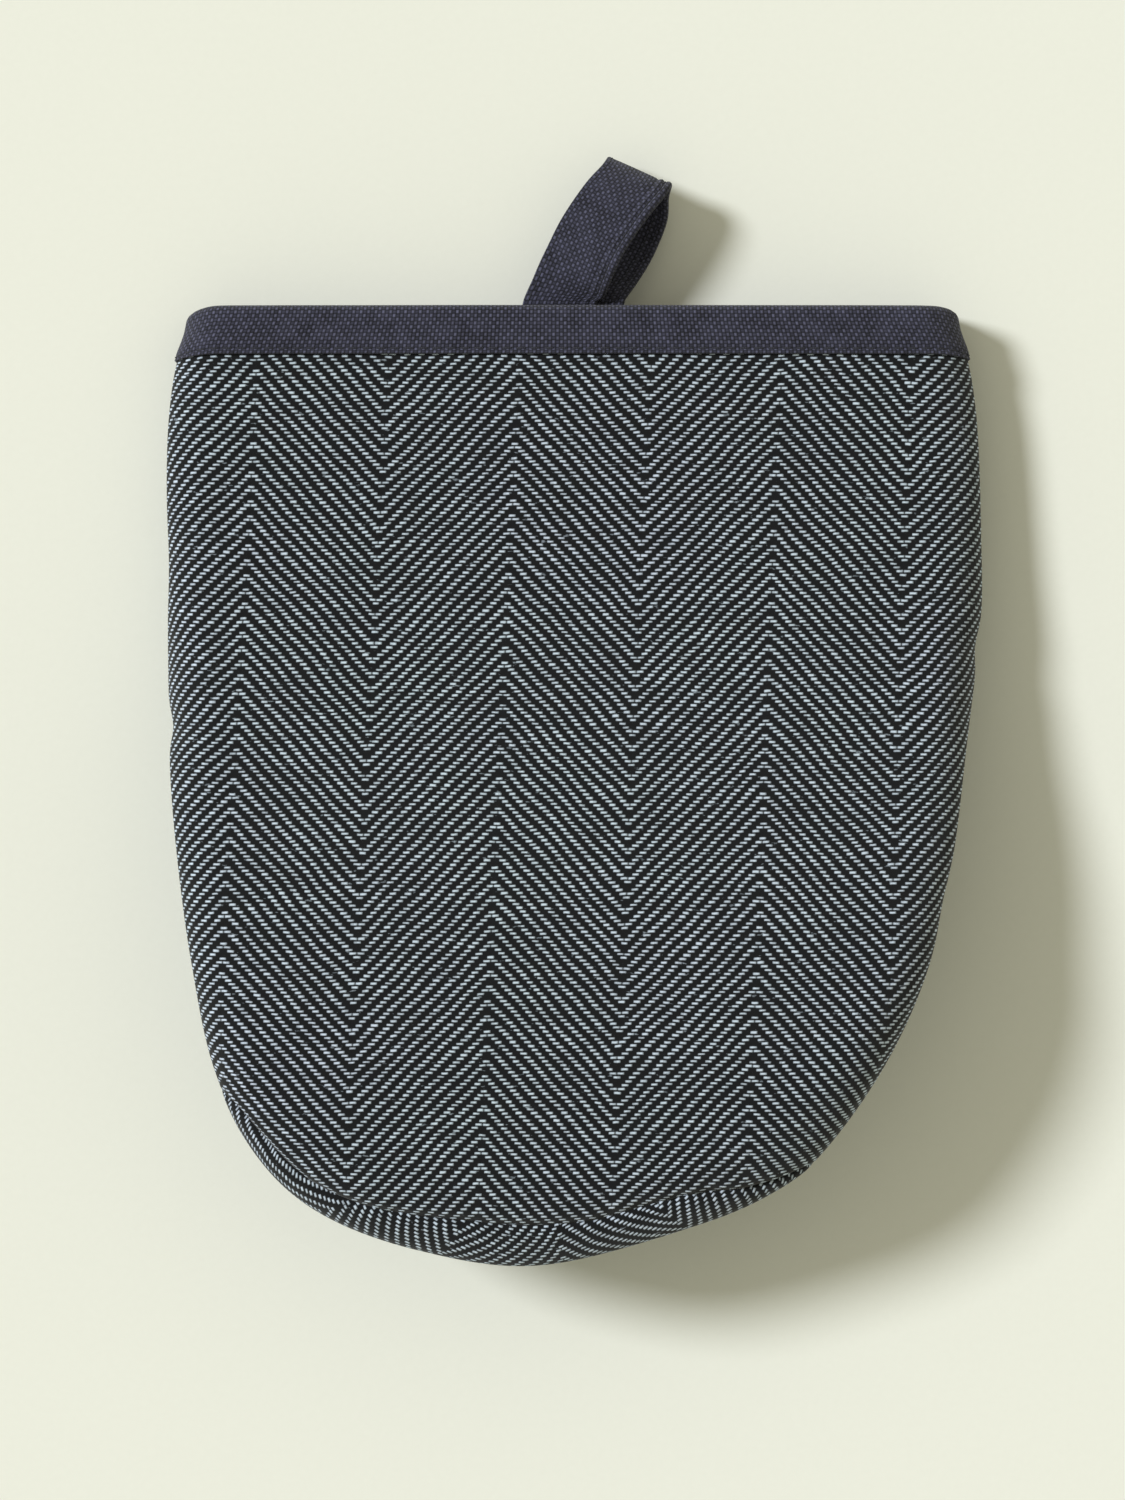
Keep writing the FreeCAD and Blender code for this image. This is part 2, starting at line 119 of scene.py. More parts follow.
# The loop's tape: share of the way from root to top, height as a share of the bulge, sideways
# place of its middle, the turn of its width in plan and its tilt.
LOOP_PATH = [
    (0.00, 0.12, -3.2, 0.0, 0.0), (0.10, 0.25, -1.6, -14.0, 5.0), (0.26, 0.60, 0.3, -28.0, 11.0),
    (0.50, 0.94, 3.4, -32.0, 15.0), (0.76, 1.00, 8.0, -30.0, 16.0), (0.93, 0.68, 11.7, -25.0, 16.0),
    (1.00, 0.00, 12.8, -26.0, 16.0), (0.93, -0.68, 12.3, -27.0, 16.0),
    (0.76, -1.00, 12.0, -27.0, 15.0), (0.50, -0.94, 9.2, -24.0, 12.0),
    (0.26, -0.60, 5.7, -15.0, 8.0), (0.10, -0.25, 3.3, -6.0, 4.0), (0.00, -0.12, 2.3, 0.0, 0.0),
]
LOOP_ROOT = (0.0, 82.3, 10.75)
LOOP_REACH, LOOP_BULGE, LOOP_DROP, LOOP_TUCK = 26.4, 5.2, 2.2, 2.6
TAPE_WIDTH, TAPE_THICKNESS = 15.0, 1.2


# ---------------------------------------------------------------- lines and heights
def smooth(points, count):
    """A smooth line through points, then spread evenly: each span is the cubic whose end slopes
    are half the chord between the neighbours on either side."""
    p = np.asarray(points, float)
    p = np.vstack([2 * p[0] - p[1], p, 2 * p[-1] - p[-2]])
    spans = len(p) - 3
    t = np.linspace(0, spans, spans * 40 + 1)
    k = np.minimum(t.astype(int), spans - 1)
    f = (t - k)[:, None]
    a, b, c, d = p[k], p[k + 1], p[k + 2], p[k + 3]
    line = 0.5 * (2 * b + (c - a) * f + (2 * a - 5 * b + 4 * c - d) * f ** 2
                  + (3 * b - a - 3 * c + d) * f ** 3)
    run = np.concatenate([[0], np.cumsum(np.linalg.norm(np.diff(line, axis=0), axis=1))])
    even = np.linspace(0, run[-1], count)
    return np.stack([np.interp(even, run, line[:, i]) for i in range(line.shape[1])], axis=1)


def ease(t):
    """0 below 0, 1 above 1, and a smooth cubic between."""
    t = np.clip(t, 0, 1)
    return t * t * (3 - 2 * t)


def profile(points):
    """A height along the mitt as a function of the station: a smooth line read off by y."""
    line = smooth(points, 600)
    order = np.argsort(line[:, 0])
    return lambda y: np.interp(y, line[order, 0], line[order, 1])


def sole(y):
    """Underside of the finger jaw: a plane that rises from the fold to the tip."""
    return MOUTH_LEVEL + (FOLD_Y - y) * SOLE_SLOPE


FOLD_HEIGHT = MOUTH_LEVEL + FOLD_SHARE * FINGER_HEIGHT
back_height = profile(
    [(FOLD_Y + a * SLEEVE_LENGTH, FOLD_HEIGHT + s * (WRIST_HEIGHT - FOLD_HEIGHT))
     for a, s in SLEEVE_BACK]
    + [(FOLD_Y - a * JAW_LENGTH, sole(FOLD_Y - a * JAW_LENGTH) + s * FINGER_HEIGHT)
       for a, s in JAW_BACK])
hand_widest = profile(
    [(WRIST_Y + RUN_OUT, WRIST_HEIGHT / 2), (WRIST_Y, WRIST_HEIGHT / 2),
     (FOLD_Y + SLEEVE_LENGTH / 4, 10.6)]
    + [(FOLD_Y - a * JAW_LENGTH,
        sole(FOLD_Y - a * JAW_LENGTH)
        + s * (back_height(FOLD_Y - a * JAW_LENGTH) - sole(FOLD_Y - a * JAW_LENGTH)))
       for a, s in FINGER_WIDEST])
thumb_widest = profile([(FOLD_Y - a * THUMB_LENGTH, s * THUMB_HEIGHT) for a, s in THUMB_WIDEST])


def palm_height(y):
    """Underside of the sleeve: flat, then an eased step up under the binding."""
    return RECESS * ease((y - 57.1) / 13.0)


def ripple(x, y):
    """Slow unevenness of a padded face: crossed long waves, between -1 and 1."""
    return (np.sin(x / 17 + 1.3) * np.sin(y / 23 + 0.4) + 0.6 * np.sin((x + y) / 13 + 2.1)
            + 0.5 * np.sin((x - 1.3 * y) / 19)
            + 0.35 * np.sin((1.2 * x + 0.4 * y) / 7.3 + 0.8)) / 2.45


# ---------------------------------------------------------------- the plan
def outline(jaw_length, narrowing):
    """The mitt's outline in plan, drawn in by narrowing along its own normal."""
    points = [(a * HALF_WIDTH, FOLD_Y + b * (SLEEVE_LENGTH if b > 0 else jaw_length))
              for a, b in OUTLINE]
    points = ([(points[0][0], points[0][1] + RUN_OUT)] + points
              + [(points[-1][0], points[-1][1] + RUN_OUT)])
    line = smooth(points, 1600)
    tangent = np.gradient(line, axis=0)
    tangent /= np.linalg.norm(tangent, axis=1)[:, None]
    line = line + np.stack([-tangent[:, 1], tangent[:, 0]], axis=1) * narrowing
    for side, station, depth, length in NIPS:
        near = (np.sign(line[:, 0]) == side) & (np.abs(line[:, 1] - station) < 4 * length)
        line[:, 0] -= side * depth * np.exp(-((line[:, 1] - station) / length) ** 2) * near
    return line


def half_widths(line, y):
    """Left and right edge of an outline at stations along the mitt."""
    tip = int(np.argmin(line[:, 1]))
    left, right = line[:tip + 1][::-1], line[tip:]
    return np.interp(y, left[:, 1], left[:, 0]), np.interp(y, right[:, 1], right[:, 0])


def reach_from_hub(line, angle):
    """Distance from the hub to a line in plan, at the given angles below the hub."""
    near = line[line[:, 1] < HUB_Y + 1]
    offset = near - np.array([MIDDLE_X, HUB_Y])
    bearing = np.arctan2(offset[:, 1], offset[:, 0])
    bearing = np.where(bearing > math.pi / 2, bearing - 2 * math.pi, bearing)
    order = np.argsort(bearing)
    return np.interp(angle, bearing[order], np.linalg.norm(offset, axis=1)[order])


STATION_STEP = 2.0
FAN_RAYS = 150


def rays(line, start_y):
    """Rays of a wall: level ones from start_y down the left side, a fan round the hub at the tip,
    then level ones back up the right side.  Returns their inner and outer ends."""
    count = int(round((start_y - HUB_Y) / STATION_STEP)) + 1
    stations = np.linspace(start_y, HUB_Y, count)
    left, right = half_widths(line, stations)
    angle = np.linspace(-math.pi, 0, FAN_RAYS + 2)[1:-1]
    reach = reach_from_hub(line, angle)
    fan = np.stack([MIDDLE_X + reach * np.cos(angle), HUB_Y + reach * np.sin(angle)], axis=1)
    middle = np.stack([np.full(count, MIDDLE_X), stations], axis=1)
    start = np.vstack([middle, np.tile([MIDDLE_X, HUB_Y], (FAN_RAYS, 1)), middle[::-1]])
    end = np.vstack([np.stack([left, stations], axis=1), fan,
                     np.stack([right, stations], axis=1)[::-1]])
    return start, end


HAND_LINE = outline(JAW_LENGTH, 0.0)
THUMB_LINE = outline(THUMB_LENGTH + THUMB_NARROWING, THUMB_NARROWING)
TIP_LINE = smooth(TIP_SEAM, 400)


def seam_column(start, end):
    """Column of the side seam on each ray of the hand: 2, the widest line, except round the
    finger tip, where the seam climbs onto the back and the column follows its plan line."""
    offset = end - start
    length = np.linalg.norm(offset, axis=1)
    angle = np.arctan2(offset[:, 1], offset[:, 0])
    fan = (end[:, 1] < TIP_LINE[0, 1]) & (start[:, 1] <= HUB_Y)
    seam_reach = reach_from_hub(TIP_LINE, angle)
    radius = edge_radius(end)
    share = np.clip((seam_reach - length + radius) / radius, 0.05, 1.0)
    column = 1 + np.arcsin(share) / (math.pi / 2)
    ends = TIP_LINE[[0, -1]] - np.array([MIDDLE_X, HUB_Y])
    first, last = np.arctan2(ends[:, 1], ends[:, 0])
    inside = fan & (angle > first) & (angle < last)
    return np.where(inside, column, 2.0)


def edge_radius(end):
    """How far the rounded edge reaches in plan: longer round the finger tip."""
    return 9.5 + 4.0 * ease((-60 - end[:, 1]) / 35)


def skin(wall_rays, column, depth, heights, seam, radius, swell=1.0):
    """One skin of a wall.  Along a ray the plan distance is the flat run and then radius times the
    sine of the turn; the height goes from the widest line by the cosine of the turn to the face.
    The faces are crowned, ripple slowly, and pinch in beside the seam."""
    start, end = (part[:, None, :] for part in wall_rays)
    side, over, under = depth
    top, widest, low = heights
    offset = end - start
    length = np.linalg.norm(offset, axis=2)
    toward = offset / length[..., None]
    length = length - side
    radius = np.minimum(radius[:, None] - side, length * 0.9)
    turn = np.clip(column - 1, 0, 2) * math.pi / 2
    run = np.where(column < 1, column, np.where(column > 3, 4 - column, 1.0))
    crest = (column - seam[:, None]) * math.pi / 2 * radius
    pinch = 0.95 * np.exp(-(crest / 1.2) ** 2) + 0.15 * np.exp(-(crest / 4.5) ** 2)
    puckers = PUCKER * seam_pucker(wall_rays[1])[:, None] * np.exp(-(crest / 5.0) ** 2)
    distance = (length - radius) * run + (radius - pinch) * np.sin(turn)
    flat = start + toward * distance[..., None]
    x, y = flat[..., 0], flat[..., 1]
    corner = np.clip((np.abs(x) - 71.5) / 8.5, 0, 1.2)
    y = y - 2.6 * corner ** 2.2 * ease((y - 66) / 14)
    share = distance / length
    lift = np.cos(turn)
    rolls = swell * 0.55 * ripple(x, y) * np.abs(lift)
    crown = swell * 1.3 * share ** 2.5
    upper = np.maximum(top(y) - over - crown + rolls - widest(y), 0.02) * lift
    lower = np.maximum(widest(y) - low(y) - under, -4.0) * lift
    z = widest(y) + np.where(turn <= math.pi / 2, upper, lower)
    z = z + (puckers - pinch * 0.75 * np.abs(lift)) * np.sign(lift + 1e-9) * (seam[:, None] < 1.99)
    return np.stack([x, y, z], axis=-1)


PUCKER = 0.42


def seam_pucker(end):
    """Gathers along the tip seam: waves of about 8 mm, strongest right of the middle."""
    along = np.concatenate([[0], np.cumsum(np.linalg.norm(np.diff(end, axis=0), axis=1))])
    strength = 0.35 + 0.65 * np.exp(-((end[:, 0] - 38) / 22) ** 2)
    return strength * (np.sin(along / 1.25) + 0.6 * np.sin(along / 0.83 + 1.0) * np.sin(along / 9.0))


# ---------------------------------------------------------------- meshes
def make_object(name, vertices, faces, uv=None, smooth_faces=True):
    """A mesh object at the origin from millimetre vertices, welded and with its faces outward."""
    mesh = bpy.data.meshes.new(name)
    mesh.from_pydata((np.asarray(vertices) * MM).tolist(), [], np.asarray(faces).tolist())
    if uv is not None:
        layer = mesh.uv_layers.new(name="cloth")
        index = np.zeros(len(mesh.loops), int)
        mesh.loops.foreach_get("vertex_index", index)
        layer.data.foreach_set("uv", (np.asarray(uv)[index] * MM).ravel())
    work = bmesh.new()
    work.from_mesh(mesh)
    bmesh.ops.remove_doubles(work, verts=work.verts, dist=2e-6)
    bmesh.ops.recalc_face_normals(work, faces=work.faces)
    work.to_mesh(mesh)
    work.free()
    mesh.polygons.foreach_set("use_smooth", [smooth_faces] * len(mesh.polygons))
    piece = bpy.data.objects.new(name, mesh)
    bpy.context.scene.collection.objects.link(piece)
    return piece


def grid_faces(rows, columns, wrap=False):
    """Quads between neighbouring rows and columns of a grid; wrap joins its last column to its first."""
    i = np.arange(rows - 1)[:, None] * columns
    k = np.arange(columns if wrap else columns - 1)[None, :]
    after = (k + 1) % columns
    return np.stack([i + k, i + after, i + columns + after, i + columns + k], axis=-1).reshape(-1, 4)


def ray_uv(wall_rays, points):
    """Cloth coordinates: the ray's own direction in plan times the length along the surface."""
    start, end = wall_rays
    toward = (end - start) / np.linalg.norm(end - start, axis=1)[:, None]
    step = np.linalg.norm(np.diff(points, axis=1), axis=2)
    run = np.concatenate([np.zeros((len(points), 1)), np.cumsum(step, axis=1)], axis=1)
    return start[:, None, :] + toward[:, None, :] * run[..., None]


# How far each part's cloth was shifted on the bolt when it was cut.
CUT_SHIFT = {"back": (0.0, 0.0), "finger_grip": (9.0, 5.0),
             "palm": (16.0, -7.0), "thumb_grip": (-6.0, 12.0)}


def wall(name, wall_rays, outer, inner, shift):
    """A closed wall between an outer and an inner skin whose column 0 is the middle line: each
    ray runs out on the outer skin and back on the inner one, and the first and last are capped."""
    rows, half = outer.shape[:2]
    points = np.concatenate([outer, inner[:, ::-1]], axis=1)
    uv = np.concatenate([ray_uv(wall_rays, outer), ray_uv(wall_rays, inner)[:, ::-1]], axis=1)
    uv = uv + np.array(shift)
    columns = 2 * half
    faces = grid_faces(rows, columns)
    k = np.arange(half - 1)
    caps = [np.stack([row * columns + k, row * columns + k + 1,
                      row * columns + columns - 2 - k, row * columns + columns - 1 - k], axis=1)
            for row in (0, rows - 1)]
    return make_object(name, points.reshape(-1, 3), np.vstack([faces] + caps), uv.reshape(-1, 2))


def upper_columns(seam, flat=34, rim=20):
    """Columns from the middle line over the upper face to the seam."""
    face = np.linspace(0, 1, flat, endpoint=False)[None, :].repeat(len(seam), 0)
    edge = 1 + (seam[:, None] - 1) * np.linspace(0, 1, rim)[None, :]
    return np.hstack([face, edge])


def lower_columns(seam, flat=34, rim=24):
    """Columns from the middle line over the lower face to the seam."""
    face = 4 - np.linspace(0, 1, flat, endpoint=False)[None, :].repeat(len(seam), 0)
    edge = 3 - (3 - seam[:, None]) * np.linspace(0, 1, rim)[None, :]
    return np.hstack([face, edge])


BACK_DEPTHS = np.cumsum([0, CLOTH, BACK_WADDING, LINING])
SIDE_DEPTHS = np.cumsum([0, CLOTH, SIDE_WADDING, LINING])
GRIP_DEPTHS = np.cumsum([0, CLOTH, GRIP_WADDING, LINING])
PALM_DEPTHS = np.cumsum([0, CLOTH, PALM_WADDING, LINING])
LAYERS = ("cloth", "batting", "lining")


def hand_walls():
    """The back of the hand and the finger jaw's gripping face, three layers each."""
    heights = (back_height, hand_widest, lambda y: np.where(y > FOLD_Y, palm_height(y), sole(y)))
    made = {}
    for part, start_y in (("back", WALL_END_Y), ("finger_grip", FOLD_Y)):
        wall_rays = rays(HAND_LINE, start_y)
        seam = seam_column(*wall_rays)
        radius = edge_radius(wall_rays[1])
        column = upper_columns(seam) if part == "back" else lower_columns(seam)
        skins = [skin(wall_rays, column, (side, over, under), heights, seam, radius)
                 for side, over, under in zip(SIDE_DEPTHS, BACK_DEPTHS, GRIP_DEPTHS)]
        for layer, outer, inner in zip(LAYERS, skins, skins[1:]):
            made[part, layer] = wall(f"{part}_{layer}", wall_rays, outer, inner, CUT_SHIFT[part])
    return made


def palm_walls():
    """The palm and the thumb jaw's underside in one cloth, and the thumb's gripping face."""
    made = {}
    for part, start_y in (("palm", WALL_END_Y), ("thumb_grip", FOLD_Y)):
        start, end = rays(THUMB_LINE, start_y)
        hand = rays(HAND_LINE, start_y)[1]
        share = ease((end[:, 1] - FOLD_Y) / (BEND_END_Y - FOLD_Y))[:, None]
        wall_rays = start, end * (1 - share) + hand * share
        station = wall_rays[1][:, 1]
        seam = np.full(len(start), 2.0)
        radius = 7.5 + 2.0 * ease((station - FOLD_Y) / 12)

        def widest(y):
            return np.where(y > FOLD_Y, hand_widest(y), thumb_widest(y))

        heights = (lambda y: np.full_like(y, THUMB_HEIGHT), widest, lambda y: palm_height(y))
        column = lower_columns(seam) if part == "palm" else upper_columns(seam)
        skins = [skin(wall_rays, column, (side, over, under), heights, seam, radius, swell=0.15)
                 for side, over, under in zip(SIDE_DEPTHS, GRIP_DEPTHS, PALM_DEPTHS)]
        for layer, outer, inner in zip(LAYERS, skins, skins[1:]):
            made[part, layer] = wall(f"{part}_{layer}", wall_rays, outer, inner, CUT_SHIFT[part])
    return made


def wrist_ring(y, share, proud, columns=96):
    """Closed loops round the sleeve at stations y: drawn in by a share of the wall's thickness
    and stood out by proud.  Returns a grid of one loop per station."""
    left, right = half_widths(HAND_LINE, y)
    middle = np.stack([np.full(len(y), MIDDLE_X), y], axis=1)
    heights = (back_height, hand_widest, palm_height)
    seam = np.full(len(y), 2.0)
    radius = np.full(len(y), 9.5)
    column = np.tile(np.concatenate([np.linspace(0, 1, 30, endpoint=False),
                                     np.linspace(1, 3, columns // 2, endpoint=False),
                                     np.linspace(3, 4, 31)]), (len(y), 1))
    depth = [(share * walls[-1] - proud * flush)[:, None] for walls, flush
             in ((SIDE_DEPTHS, 0.5), (BACK_DEPTHS, 1.0), (PALM_DEPTHS, 1.0))]
    halves = []
    for edge in (right, left):
        ends = np.stack([edge, y], axis=1)
        halves.append(skin((middle, ends), column, depth, heights, seam, radius))
    return np.concatenate([halves[0], halves[1][:, ::-1][:, 1:-1]], axis=1)


# The binding's section round the wall's end: station back from the wrist edge, share of the
# wall's thickness drawn in, and how far it stands proud.
BINDING_SECTION = [
    (9.9, 0.0, 0.05), (10.0, 0.0, 0.55), (9.85, 0.0, 0.95), (9.5, 0.0, 1.15), (9.15, 0.0, 0.98),
    (8.85, 0.0, 0.72), (8.5, 0.0, 0.98), (8.0, 0.0, 1.14), (6.6, 0.0, 1.1), (5.0, 0.0, 1.08),
    (3.4, 0.0, 1.12), (2.0, 0.0, 1.18), (1.1, 0.0, 1.08), (0.5, 0.05, 0.75), (0.15, 0.2, 0.3),
    (0.0, 0.45, 0.0), (0.05, 0.7, -0.2), (0.4, 0.92, -0.6), (1.0, 1.0, -0.85), (3.0, 1.0, -0.9),
    (6.0, 1.0, -0.9), (8.4, 1.0, -0.85), (8.7, 1.0, -0.5), (8.4, 1.0, -0.04), (4.0, 1.0, -0.04),
    (0.95, 1.0, -0.04), (0.95, 0.0, 0.04), (4.0, 0.0, 0.04), (8.0, 0.0, 0.04),
]


def build_binding():
    """The tape folded over the wrist edge: the section above carried round the sleeve."""
    back, share, proud = np.array(BINDING_SECTION).T
    loops = wrist_ring(WRIST_Y - back, share, proud)
    loops = np.concatenate([loops, loops[:, :1]], axis=1)
    rows, columns = loops.shape[:2]
    first = np.arange(columns - 1)
    faces = grid_faces(rows, columns)
    close = np.stack([first + (rows - 1) * columns, first + 1 + (rows - 1) * columns,
                      first + 1, first], axis=1)
    around = np.concatenate([[0], np.cumsum(np.linalg.norm(np.diff(loops[8], axis=0), axis=1))])
    over = np.concatenate([[0], np.cumsum(np.linalg.norm(np.diff(loops[:, 0], axis=0), axis=1))])
    uv = np.stack(np.broadcast_arrays(around[None, :], over[:, None]), axis=-1)
    return make_object("wrist_binding_tape", loops.reshape(-1, 3),
                       np.vstack([faces, close]), uv.reshape(-1, 2))


def stitches(name, line, out, length, gap, width, height):
    """A row of stitches along a line: each is a rounded grain, an ellipsoid cut to eight sides,
    that follows the line, lies along it and stands out by half its height."""
    run = np.concatenate([[0], np.cumsum(np.linalg.norm(np.diff(line, axis=0), axis=1))])
    count = int(run[-1] // (length + gap))
    centre = (np.arange(count) + 0.5) * run[-1] / count
    at = np.stack([np.interp(centre, run, line[:, i]) for i in range(3)], axis=1)
    ahead = np.stack([np.interp(centre + 0.3, run, line[:, i]) for i in range(3)], axis=1)
    normal = np.stack([np.interp(centre, run, out[:, i]) for i in range(3)], axis=1)
    along = ahead - at
    along /= np.maximum(np.linalg.norm(along, axis=1), 1e-9)[:, None]
    normal /= np.linalg.norm(normal, axis=1)[:, None]
    across = np.cross(along, normal)
    turn = np.linspace(0, 2 * math.pi, 8, endpoint=False)
    place = np.array([-1.0, -0.82, 0.0, 0.82, 1.0])
    swell = np.array([0.05, 0.72, 1.0, 0.72, 0.05])
    local = np.stack([np.repeat(place, 8) * length / 2,
                      np.outer(swell, np.cos(turn)).ravel() * width / 2,
                      np.outer(swell, np.sin(turn)).ravel() * height / 2], axis=1)
    frames = np.stack([along, across, normal], axis=1)
    vertices = at[:, None, :] + np.einsum("vk,nkd->nvd", local, frames)
    faces = grid_faces(5, 8, wrap=True)
    caps = np.array([[0, 3, 2, 1], [0, 5, 4, 3], [0, 7, 6, 5], [32, 33, 34, 35], [32, 35, 36, 37],
                     [32, 37, 38, 39]])
    each = np.vstack([faces, caps])
    every = (np.arange(count)[:, None, None] * 40 + each[None]).reshape(-1, 4)
    return make_object(name, vertices.reshape(-1, 3), every)


# ---------------------------------------------------------------- the hanging loop
def loop_frames(steps=110):
    """Places along the loop with the directions along it, across it and out of its face."""
    root = np.array(LOOP_ROOT)
    path = np.array(LOOP_PATH)
    along, rise = path[:, 0], path[:, 1]
    closest = TAPE_THICKNESS / 2 + 0.05
    height = np.where(along > 0, rise * LOOP_BULGE, np.sign(rise) * closest)
    places = root + np.stack([path[:, 2], along * LOOP_REACH, height - along * LOOP_DROP], axis=1)
    inside = np.array([0.0, LOOP_TUCK, 0.0])
    places = np.vstack([places[0] - inside, places, places[-1] - inside])
    swing = np.vstack([path[:1, 3:], path[:, 3:], path[-1:, 3:]])
    line = smooth(np.hstack([places, swing * 0.2]), steps)
    place, angles = line[:, :3], np.radians(line[:, 3:] / 0.2)
    tangent = np.gradient(place, axis=0)
    tangent /= np.linalg.norm(tangent, axis=1)[:, None]
    turn, tilt = angles.T
    across = np.stack([np.cos(turn) * np.cos(tilt), np.sin(turn) * np.cos(tilt), np.sin(tilt)], axis=1)
    outward = np.cross(across, tangent)
    outward /= np.linalg.norm(outward, axis=1)[:, None]
    return place, tangent, across, outward


# The tape's section: share of the half width, and height of its face.  The left edge is a plain
# fold.  On the right the raw edge is turned in and sewn, which leaves two ridges and a groove.
TAPE_SECTION = [(-1.0, 0.0), (-0.985, 0.40), (-0.94, 0.58), (-0.86, 0.50), (-0.6, 0.54),
                (-0.3, 0.56), (0.0, 0.56), (0.3, 0.55), (0.50, 0.52), (0.57, 0.36), (0.60, 0.42), (0.64, 0.70),
                (0.69, 0.78), (0.735, 0.62), (0.77, 0.40), (0.80, 0.52), (0.84, 0.82), (0.90, 0.95),
                (0.96, 0.80), (0.99, 0.42), (1.0, 0.0)]
STITCH_PLACES = {"left": -0.86, "right": 0.77}


def build_tape():
    """The loop: the tape's section, with folded ridged edges, carried along the loop's line."""
    place, tangent, across, outward = loop_frames()
    upper = np.array(TAPE_SECTION)
    section = np.vstack([upper, upper[1:-1][::-1] * [1, -1]])
    points = (place[:, None, :] + across[:, None, :] * (section[:, 0] * TAPE_WIDTH / 2)[None, :, None]
              + outward[:, None, :] * section[:, 1][None, :, None])
    rows, columns = points.shape[:2]
    faces = grid_faces(rows, columns, wrap=True)
    run = np.concatenate([[0], np.cumsum(np.linalg.norm(np.diff(place, axis=0), axis=1))])
    girth = np.concatenate([[0], np.cumsum(np.linalg.norm(np.diff(section * [TAPE_WIDTH / 2, 1], axis=0), axis=1))])
    uv = np.stack(np.broadcast_arrays(girth[None, :], run[:, None]), axis=-1)
    k = np.arange(columns // 2)
    caps = [np.stack([row * columns + k, row * columns + k + 1,
                      row * columns + (columns - k - 1) % columns, row * columns + (columns - k) % columns], axis=1)
            for row in (0, rows - 1)]
    return make_object("loop_tape", points.reshape(-1, 3), np.vstack([faces] + caps),
                       uv.reshape(-1, 2))


def slab(name, low, high):
    """A flat strip of folded tape: a rounded-edge section carried straight along the mitt, thinner
    at its two ends."""
    turn = np.linspace(0, 2 * math.pi, 40, endpoint=False)
    half = (high - low) / 2
    middle = (high + low) / 2
    x = np.sign(np.cos(turn)) * np.abs(np.cos(turn)) ** 0.25
    z = np.sign(np.sin(turn)) * np.abs(np.sin(turn)) ** 0.6
    s = np.array([-1, -1, -0.97, -0.9, 0, 0.9, 0.97, 1, 1])
    thin = np.array([0.0, 0.5, 0.85, 1, 1, 1, 0.85, 0.5, 0.0])
    points = np.stack([
        middle[0] + half[0] * x[None, :] * (0.9 + 0.1 * thin[:, None]) * (thin[:, None] > 0),
        middle[1] + half[1] * s[:, None] + 0 * x[None, :],
        middle[2] + half[2] * z[None, :] * thin[:, None]], axis=-1)
    uv = points[..., :2]
    return make_object(name, points.reshape(-1, 3), grid_faces(len(s), 40, wrap=True),
                       uv.reshape(-1, 2))


# ---------------------------------------------------------------- finishes
class Value:
    """A socket of a finish under construction, which can be used in sums."""

    def __init__(self, finish, socket):
        self.finish, self.socket = finish, socket

    def math(self, operation, *others, clamp=False):
        inputs = dict(enumerate((self,) + others))
        return self.finish.node("ShaderNodeMath", {"operation": operation, "use_clamp": clamp},
                                inputs)

    def __add__(self, other):
        return self.math("ADD", other)

    __radd__ = __add__

    def __sub__(self, other):
        return self.math("SUBTRACT", other)

    def __rsub__(self, other):
        return (self * -1) + other

    def __mul__(self, other):
        return self.math("MULTIPLY", other)

    __rmul__ = __mul__

    def __truediv__(self, other):
        return self.math("DIVIDE", other)

    def __lt__(self, other):
        return self.math("LESS_THAN", other)

    def __gt__(self, other):
        return self.math("GREATER_THAN", other)

    def __mod__(self, other):
        return self.math("FLOORED_MODULO", other)

    def floor(self):
        return self.math("FLOOR")

    def fract(self):
        return self.math("FRACT")

    def size(self):
        return self.math("ABSOLUTE")

    def clamp(self):
        return self.math("ADD", 0.0, clamp=True)

    def power(self, other):
        return self.math("POWER", other)

    def pingpong(self, other):
        return self.math("PINGPONG", other)


class Finish:
    """A material built from nodes round one Principled shader."""

    def __init__(self, name, **constants):
        self.material = bpy.data.materials.new(name)
        self.material.use_nodes = True
        self.tree = self.material.node_tree
        self.surface = self.tree.nodes["Principled BSDF"]
        for key, value in constants.items():
            self.surface.inputs[key.replace("_", " ")].default_value = value

    def node(self, kind, settings=None, inputs=None, output=0):
        """Adds a node, sets its settings first and then its sockets, and returns an output."""
        node = self.tree.nodes.new(kind)
        for key, value in (settings or {}).items():
            setattr(node, key, value)
        for key, value in (inputs or {}).items():
            self.put(node.inputs[key], value)
        return Value(self, node.outputs[output])

    def put(self, socket, value):
        if isinstance(value, Value):
            self.tree.links.new(value.socket, socket)
        else:
            socket.default_value = value

    def set(self, name, value):
        self.put(self.surface.inputs[name], value)

    def uv(self):
        """The piece's cloth coordinates in millimetres."""
        place = self.node("ShaderNodeUVMap", {"uv_map": "cloth"})
        parts = self.tree.nodes.new("ShaderNodeSeparateXYZ")
        self.put(parts.inputs[0], place)
        return Value(self, parts.outputs[0]) / MM, Value(self, parts.outputs[1]) / MM

    def object_place(self):
        return self.node("ShaderNodeTexCoord", output=3)

    def noise(self, place, scale, detail=2.0, rough=0.5):
        return self.node("ShaderNodeTexNoise", inputs={
            "Vector": place, "Scale": scale, "Detail": detail, "Roughness": rough})

    def vector(self, x, y, z=0.0):
        return self.node("ShaderNodeCombineXYZ", inputs={0: x, 1: y, 2: z})

    def mix(self, share, first, second):
        return self.node("ShaderNodeMix", {"data_type": "RGBA"},
                         {0: share, 6: first, 7: second}, output=2)

    def bump(self, height, distance, strength=1.0):
        self.set("Normal", self.node("ShaderNodeBump", inputs={
            "Height": height, "Distance": distance * MM, "Strength": strength}))


